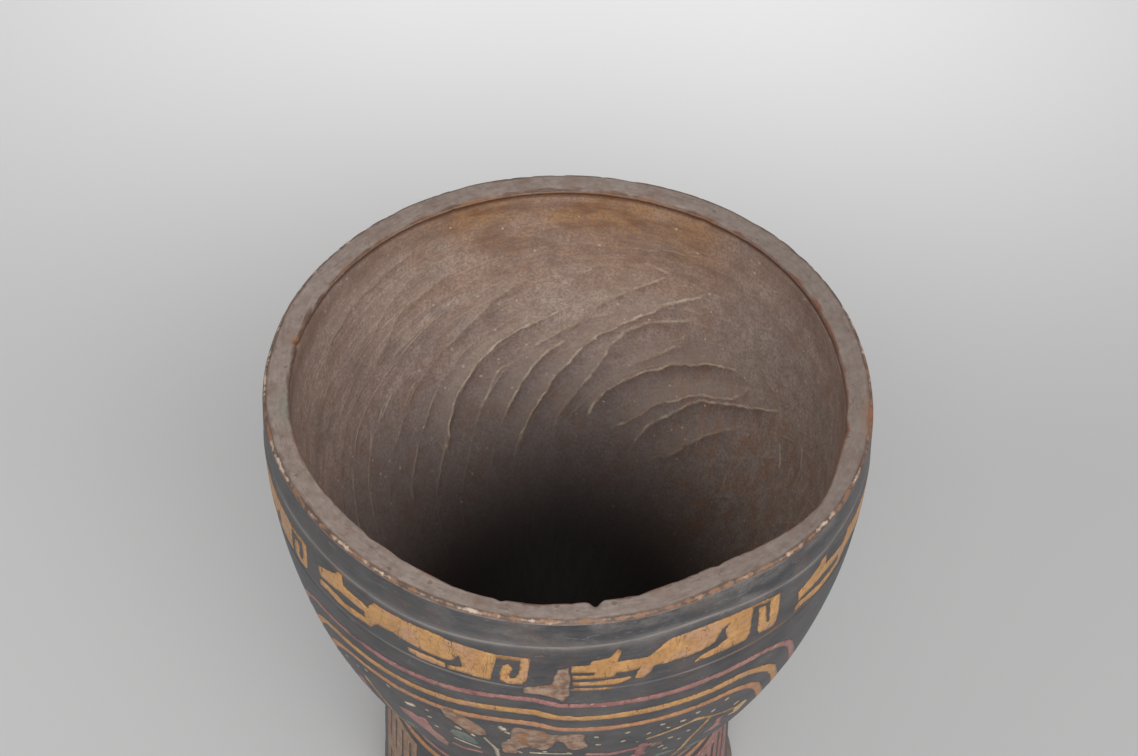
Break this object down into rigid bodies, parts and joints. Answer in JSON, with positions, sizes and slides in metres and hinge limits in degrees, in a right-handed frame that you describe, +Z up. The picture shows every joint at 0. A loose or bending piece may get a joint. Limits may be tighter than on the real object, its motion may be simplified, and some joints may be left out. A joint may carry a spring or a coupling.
{
  "type": "kero cup",
  "caption": "Deep hand-carved wooden drinking cup on a stout stem, its outside inlaid with flush resin pumas, rainbow stripes, rain dots, bell flowers and panels",
  "frame": {"origin": "centre of the flat base, on the surface that the cup stands on", "axes": "+Z up along the cup's axis, -Y towards the front scene that faces the viewer, +X to that viewer's right"},
  "size_m": [0.1712, 0.1712, 0.19],
  "materials": {
    "wood": "dark, hand-carved, worn wood",
    "ochre_resin": "natural lacquer resin, dull and worn",
    "red_resin": "natural lacquer resin, dull and worn",
    "orange_resin": "natural lacquer resin, dull and worn",
    "cream_resin": "natural lacquer resin, dull and worn",
    "green_resin": "natural lacquer resin, dull and worn"
  },
  "bodies": {
    "root": {"cup_body": "wood", "puma_1": "ochre_resin", "puma_2": "ochre_resin", "puma_3": "ochre_resin", "puma_4": "ochre_resin", "puma_5": "ochre_resin", "puma_6": "ochre_resin", "puma_7": "ochre_resin", "front_rainbow_red": "red_resin", "front_rainbow_yellow": "ochre_resin", "front_rainbow_orange": "orange_resin", "front_rain_dots": "cream_resin", "back_rainbow_red": "red_resin", "back_rainbow_yellow": "ochre_resin", "back_rainbow_orange": "orange_resin", "back_rain_dots": "cream_resin", "front_stalks": "ochre_resin", "front_bell_flowers": "red_resin", "front_leaves": "green_resin", "back_stalks": "ochre_resin", "back_bell_flowers": "red_resin", "back_leaves": "green_resin", "side_stalks": "ochre_resin", "side_bell_flowers": "red_resin", "side_leaves": "green_resin", "panel_1": "ochre_resin", "panel_2": "green_resin", "panel_3": "red_resin", "panel_4": "ochre_resin", "panel_5": "green_resin", "panel_6": "red_resin", "neck_band_red": "red_resin", "neck_band_orange": "orange_resin", "foot_band_red": "red_resin", "foot_band_ochre": "ochre_resin"}
  },
  "joints": []
}
